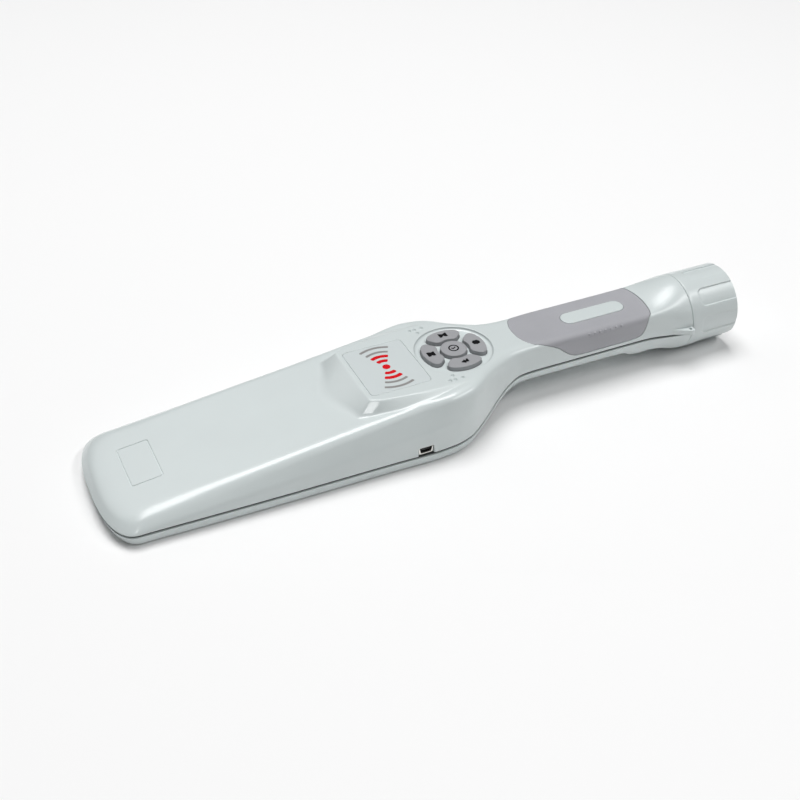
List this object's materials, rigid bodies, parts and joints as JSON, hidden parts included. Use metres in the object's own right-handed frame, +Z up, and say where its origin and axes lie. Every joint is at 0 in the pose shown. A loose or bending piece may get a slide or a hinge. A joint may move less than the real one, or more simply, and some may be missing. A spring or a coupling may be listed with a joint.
{
  "type": "handheld microchip scanner",
  "caption": "Paddle-shaped handheld microchip scanner: wedge blade, raised deck with window and round keypad, slim handle with soft inlay and a screw-on battery cap.",
  "frame": {"origin": "middle of the bounding box in plan, on the plane that the blade's underside and the cap rest on", "axes": "+X along the scanner from the blade's tip to the battery cap, +Y away from the USB side, +Z up through the keypad"},
  "size_m": [0.3808, 0.0896, 0.044],
  "materials": {
    "shell_plastic": "cool light grey moulded ABS, satin gloss",
    "window_plastic": "thin light grey window with a printed radio-wave sign",
    "key_rubber": "mid grey silicone with a fine matt texture and small dark signs",
    "mat_rubber": "grey silicone sheet",
    "seal_rubber": "dark grey sealing rubber",
    "grip_plastic": "soft-touch mauve grey moulding",
    "tray_plastic": "natural moulded plastic",
    "black_plastic": "black moulded plastic",
    "fibreglass": "green solder-masked board",
    "polyester_film": "clear polyester film with metal domes",
    "ribbon_cable": "amber flat cable",
    "display_glass": "dark display glass",
    "enamelled_copper": "enamelled copper wire",
    "cell_body": "lithium cell in a blue sleeve",
    "wire_sleeve": "red and black insulated wires",
    "nickel_plate": "nickel-plated sheet and spring steel",
    "zinc_steel": "zinc-plated screw steel"
  },
  "bodies": {
    "case": {"antenna_coil": "enamelled_copper", "antenna_lead": "enamelled_copper", "antenna_tray": "tray_plastic", "battery_cell": "cell_body", "battery_collar": "tray_plastic", "battery_contact": "nickel_plate", "battery_lead": "wire_sleeve", "board_ribbon": "ribbon_cable", "bottom_shell": "shell_plastic", "buzzer": "black_plastic", "case_gasket": "seal_rubber", "case_screw_1": "zinc_steel", "case_screw_2": "zinc_steel", "case_screw_3": "zinc_steel", "case_screw_4": "zinc_steel", "case_screw_5": "zinc_steel", "case_screw_6": "zinc_steel", "case_screw_7": "zinc_steel", "collar_seal": "seal_rubber", "display_module": "display_glass", "display_window": "window_plastic", "dome_sheet": "polyester_film", "front_board": "fibreglass", "grip_cover": "grip_plastic", "grip_insert": "shell_plastic", "keypad_mat": "mat_rubber", "main_board": "fibreglass", "processor_can": "nickel_plate", "top_shell": "shell_plastic", "usb_port": "nickel_plate", "usb_tongue": "black_plastic"},
    "power_key": {"key_power": "key_rubber"},
    "back_key": {"key_back": "key_rubber"},
    "next_key": {"key_next": "key_rubber"},
    "menu_key": {"key_menu": "key_rubber"},
    "read_key": {"key_read": "key_rubber"},
    "cap_contact": {"cap_contact_plate": "nickel_plate", "cap_contact_spring": "nickel_plate"},
    "cap": {"battery_cap": "shell_plastic"}
  },
  "joints": [
    {"name": "power_key_press", "type": "slide", "parent": "case", "child": "power_key", "axis": [0, 0, -1], "range_m": [0, 0.0008], "stiffness_N_per_m": 1200, "springref_m": -0.0003},
    {"name": "back_key_press", "type": "slide", "parent": "case", "child": "back_key", "axis": [0, 0, -1], "range_m": [0, 0.0008], "stiffness_N_per_m": 1200, "springref_m": -0.0003},
    {"name": "next_key_press", "type": "slide", "parent": "case", "child": "next_key", "axis": [0, 0, -1], "range_m": [0, 0.0008], "stiffness_N_per_m": 1200, "springref_m": -0.0003},
    {"name": "menu_key_press", "type": "slide", "parent": "case", "child": "menu_key", "axis": [0, 0, -1], "range_m": [0, 0.0008], "stiffness_N_per_m": 1200, "springref_m": -0.0003},
    {"name": "read_key_press", "type": "slide", "parent": "case", "child": "read_key", "axis": [0, 0, -1], "range_m": [0, 0.0008], "stiffness_N_per_m": 1200, "springref_m": -0.0003},
    {"name": "cap_travel", "type": "slide", "parent": "case", "child": "cap_contact", "axis": [1, 0, 0], "range_m": [0, 0.0075]},
    {"name": "cap_turn", "type": "hinge", "parent": "cap_contact", "child": "cap", "pos_m": [0.17385, 0, 0.022], "axis": [1, 0, 0], "range_deg": [0, 900]}
  ],
  "couplings": [
    {"joint": "cap_travel", "follows": "cap_turn", "m_per_rad": 0.00047746}
  ]
}
